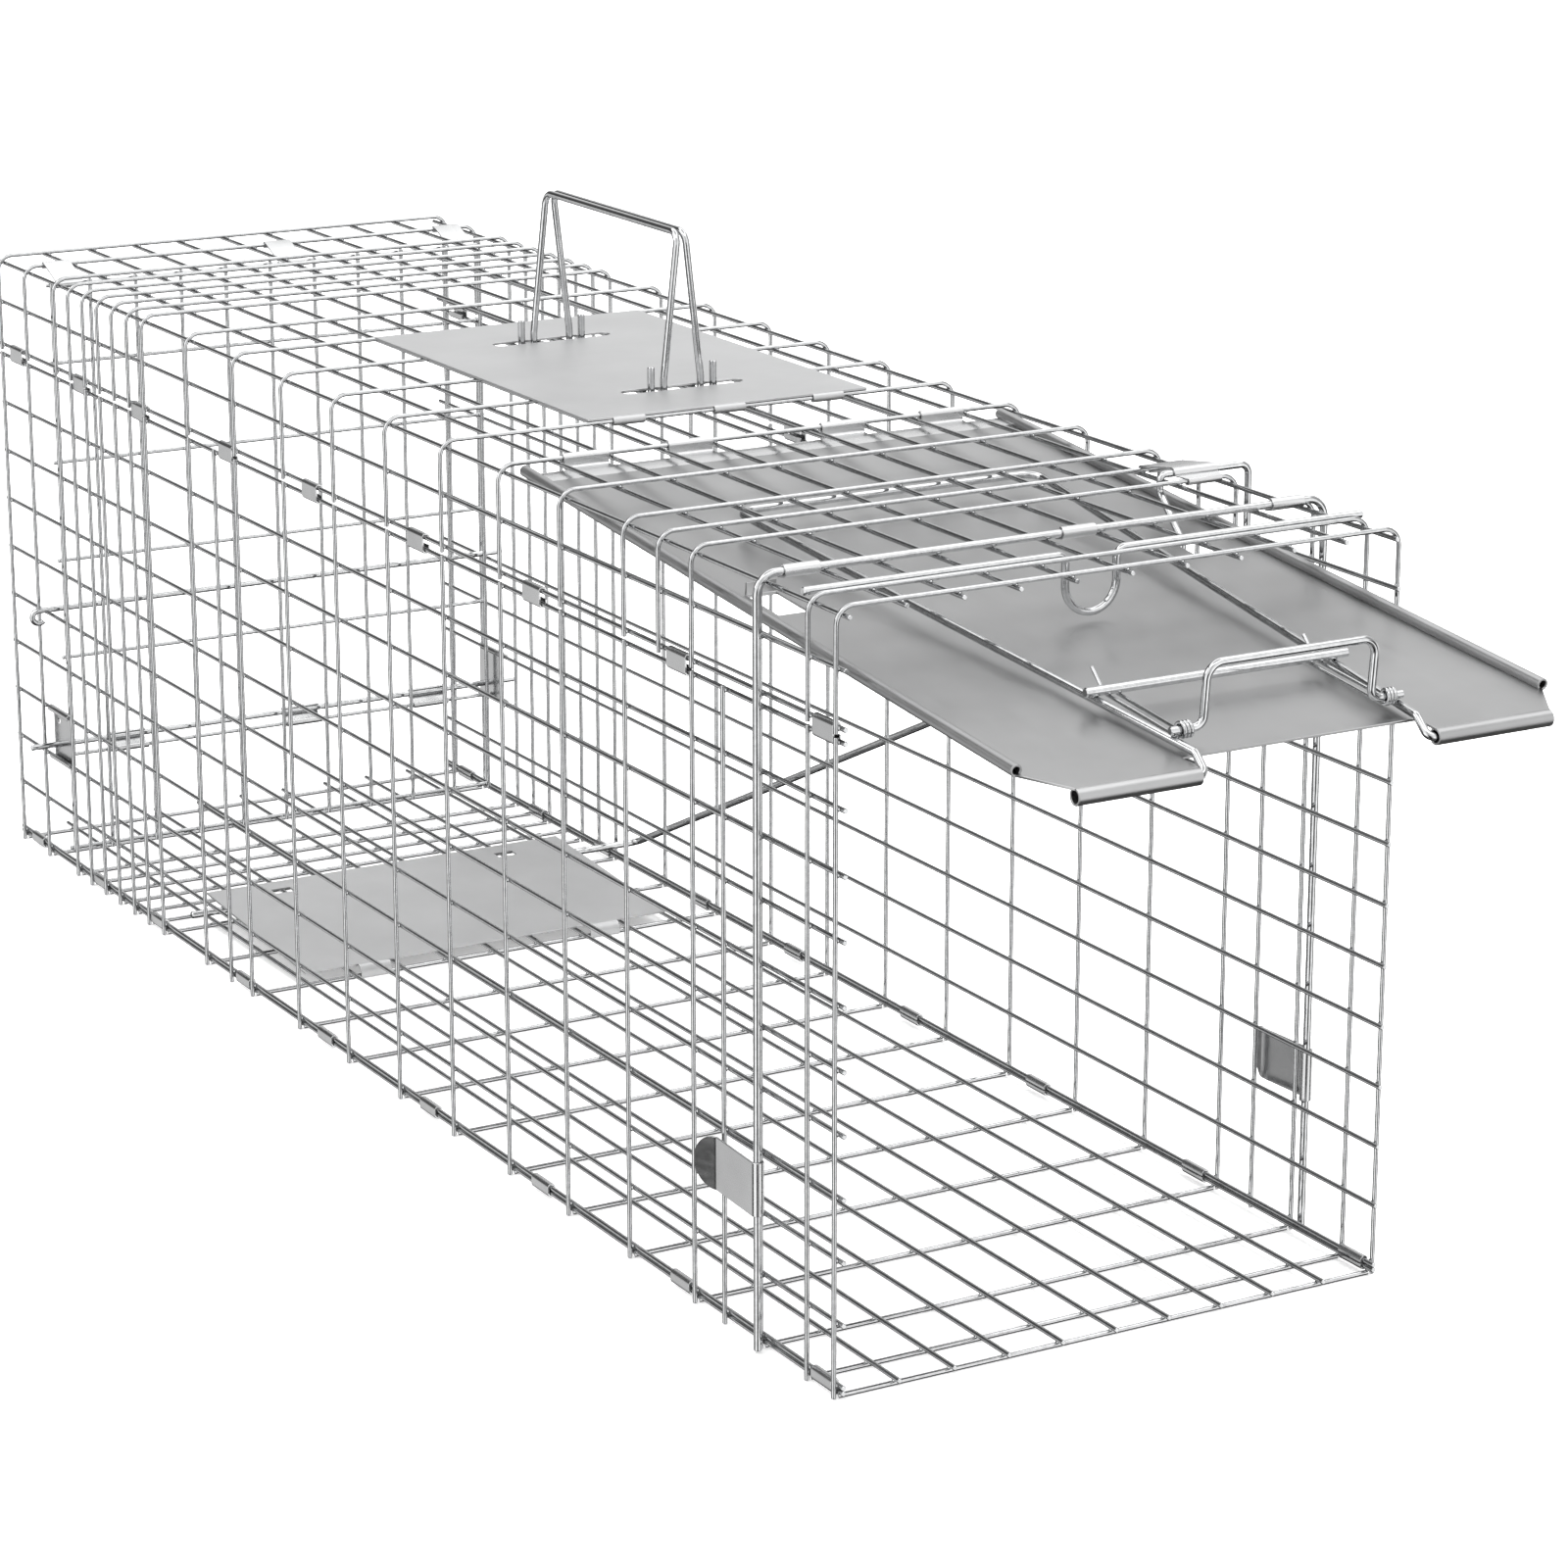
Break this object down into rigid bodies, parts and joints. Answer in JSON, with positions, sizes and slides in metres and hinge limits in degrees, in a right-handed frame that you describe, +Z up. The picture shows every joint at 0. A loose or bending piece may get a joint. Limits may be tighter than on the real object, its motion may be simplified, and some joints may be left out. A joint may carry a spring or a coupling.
{
  "type": "live catch trap",
  "caption": "Folding wire cage trap with a drop door that opens upwards and locks shut, a trip pan linked to a catch, a guard plate and a wire carry handle.",
  "frame": {"origin": "centre of the bounding box in X and Y, at the lowest point", "axes": "+Z up, the open door at -Y, +X to the trap's right seen from the door"},
  "size_m": [0.272, 0.957, 0.3746],
  "materials": {
    "mesh_wire": "bright zinc plated wire",
    "frame_wire": "bright zinc plated rod",
    "sheet": "satin galvanised sheet with fine grain",
    "clip": "satin galvanised strip",
    "spring": "plated spring wire"
  },
  "bodies": {
    "cage": {"bottom_panel": "mesh_wire", "left_side_panel": "mesh_wire", "right_side_panel": "mesh_wire", "top_panel": "mesh_wire", "left_seam_clips": "clip", "right_seam_clips": "clip", "left_floor_clips": "clip", "right_floor_clips": "clip", "front_stop_bar": "frame_wire", "front_hinge_sleeves": "clip", "catch_bracket": "sheet", "guard_plate": "sheet", "rear_panel": "mesh_wire", "rear_hanger_clips": "clip", "rear_rod_clips": "clip", "left_rod_plate": "clip", "right_rod_plate": "clip"},
    "frame": {"front_frame": "frame_wire"},
    "left_latch": {"left_latch_clip": "clip"},
    "right_latch": {"right_latch_clip": "clip"},
    "door": {"door_panel": "sheet"},
    "bail": {"lock_bail": "frame_wire", "lock_bar": "frame_wire", "left_handle_spring": "spring", "right_handle_spring": "spring"},
    "handle": {"lift_handle": "frame_wire"},
    "catch": {"door_catch": "frame_wire"},
    "trip": {"trip_pan": "sheet", "trigger_rod": "frame_wire"},
    "left_loop": {"left_carry_loop": "frame_wire"},
    "right_loop": {"right_carry_loop": "frame_wire"},
    "lower_rod": {"lower_lock_rod": "frame_wire"},
    "upper_rod": {"upper_lock_rod": "frame_wire"}
  },
  "joints": [
    {"name": "front_frame_swing", "type": "hinge", "parent": "cage", "child": "frame", "pos_m": [0, -0.30246, 0.3052], "axis": [-1, 0, 0], "range_deg": [0, 90]},
    {"name": "left_latch_swing", "type": "hinge", "parent": "frame", "child": "left_latch", "pos_m": [-0.127, -0.30246, 0.067], "axis": [0, 0, 1], "range_deg": [0, 35]},
    {"name": "right_latch_swing", "type": "hinge", "parent": "frame", "child": "right_latch", "pos_m": [0.127, -0.30246, 0.067], "axis": [0, 0, -1], "range_deg": [0, 35]},
    {"name": "door_swing", "type": "hinge", "parent": "cage", "child": "door", "pos_m": [0, -0.08656, 0.304], "axis": [1, 0, 0], "range_deg": [0, 42.8]},
    {"name": "bail_swing", "type": "hinge", "parent": "door", "child": "bail", "pos_m": [0, -0.47529, 0.26139], "axis": [1, 0, 0], "range_deg": [0, 13.3]},
    {"name": "lift_handle_squeeze", "type": "hinge", "parent": "bail", "child": "handle", "pos_m": [0, -0.45624, 0.27268], "axis": [-1, 0, 0], "range_deg": [0, 40], "stiffness_Nm_per_rad": 0.05, "springref_deg": -17.19},
    {"name": "catch_swing", "type": "hinge", "parent": "cage", "child": "catch", "pos_m": [0, -0.24346, 0.3068], "axis": [-1, 0, 0], "range_deg": [0, 12]},
    {"name": "trip_pan_press", "type": "hinge", "parent": "cage", "child": "trip", "pos_m": [0, 0.18044, 0.001], "axis": [-1, 0, 0], "range_deg": [0, 0.8]},
    {"name": "left_loop_fold", "type": "hinge", "parent": "cage", "child": "left_loop", "pos_m": [0, 0.06964, 0.30198], "axis": [0, -1, 0], "range_deg": [0, 80]},
    {"name": "right_loop_fold", "type": "hinge", "parent": "cage", "child": "right_loop", "pos_m": [0.0242, 0.06964, 0.30198], "axis": [0, 1, 0], "range_deg": [0, 80]},
    {"name": "lower_rod_pull", "type": "slide", "parent": "cage", "child": "lower_rod", "axis": [-1, 0, 0], "range_m": [0, 0.261]},
    {"name": "upper_rod_pull", "type": "slide", "parent": "cage", "child": "upper_rod", "axis": [-1, 0, 0], "range_m": [0, 0.255]}
  ],
  "couplings": [
    {"joint": "bail_swing", "follows": "door_swing", "ratio": 0.31}
  ]
}
